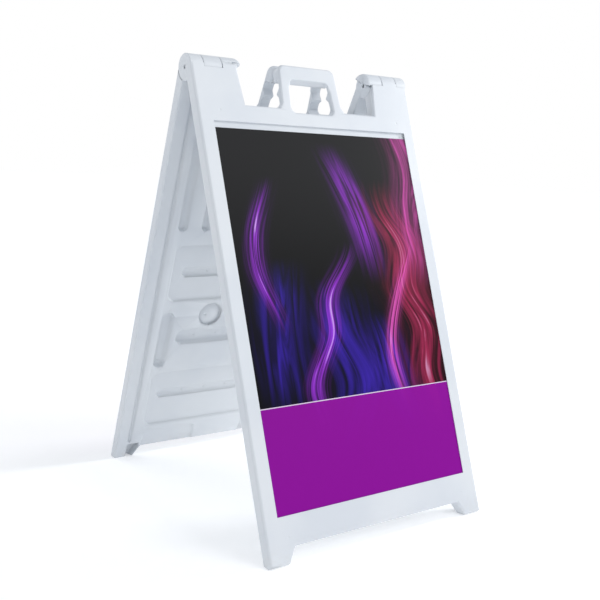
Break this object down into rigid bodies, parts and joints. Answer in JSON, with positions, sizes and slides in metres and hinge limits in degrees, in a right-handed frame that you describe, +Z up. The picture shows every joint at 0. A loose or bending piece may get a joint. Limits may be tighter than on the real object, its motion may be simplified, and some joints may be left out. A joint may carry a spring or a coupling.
{
  "type": "a-frame sign",
  "caption": "White folding A-frame sidewalk sign: two hollow moulded panels with hand-hole handles, hinged along the top, each holding a slide-in printed board.",
  "frame": {"origin": "on the floor, midway between the feet of the two panels and midway across their width", "axes": "X runs across the width of the sign, along the hinge axis; Y runs through the sign from the front face to the rear face, the front panel on the -Y side; Z is up"},
  "size_m": [0.672, 0.8718, 1.1298],
  "materials": {
    "moulding": "white blow-moulded polyethylene with a fine satin grain",
    "steel": "plain drawn steel rod",
    "board": "white corrugated plastic sheet, matt",
    "print": "satin printed film, near black with violet and pink bands",
    "plug": "white moulded polyethylene, satin",
    "seal": "black rubber, matt"
  },
  "bodies": {
    "front": {"front_panel": "moulding", "left_hinge_pin": "steel", "right_hinge_pin": "steel", "front_sign_board": "board", "front_print_film": "print", "front_ballast_plug": "plug", "front_plug_seal": "seal"},
    "rear": {"rear_panel": "moulding", "rear_sign_board": "board", "rear_print_film": "print", "rear_ballast_plug": "plug", "rear_plug_seal": "seal"}
  },
  "joints": [
    {"name": "fold", "type": "hinge", "parent": "front", "child": "rear", "pos_m": [0, 0, 1.09827], "axis": [1, 0, 0], "range_deg": [-40.6, 0]}
  ]
}
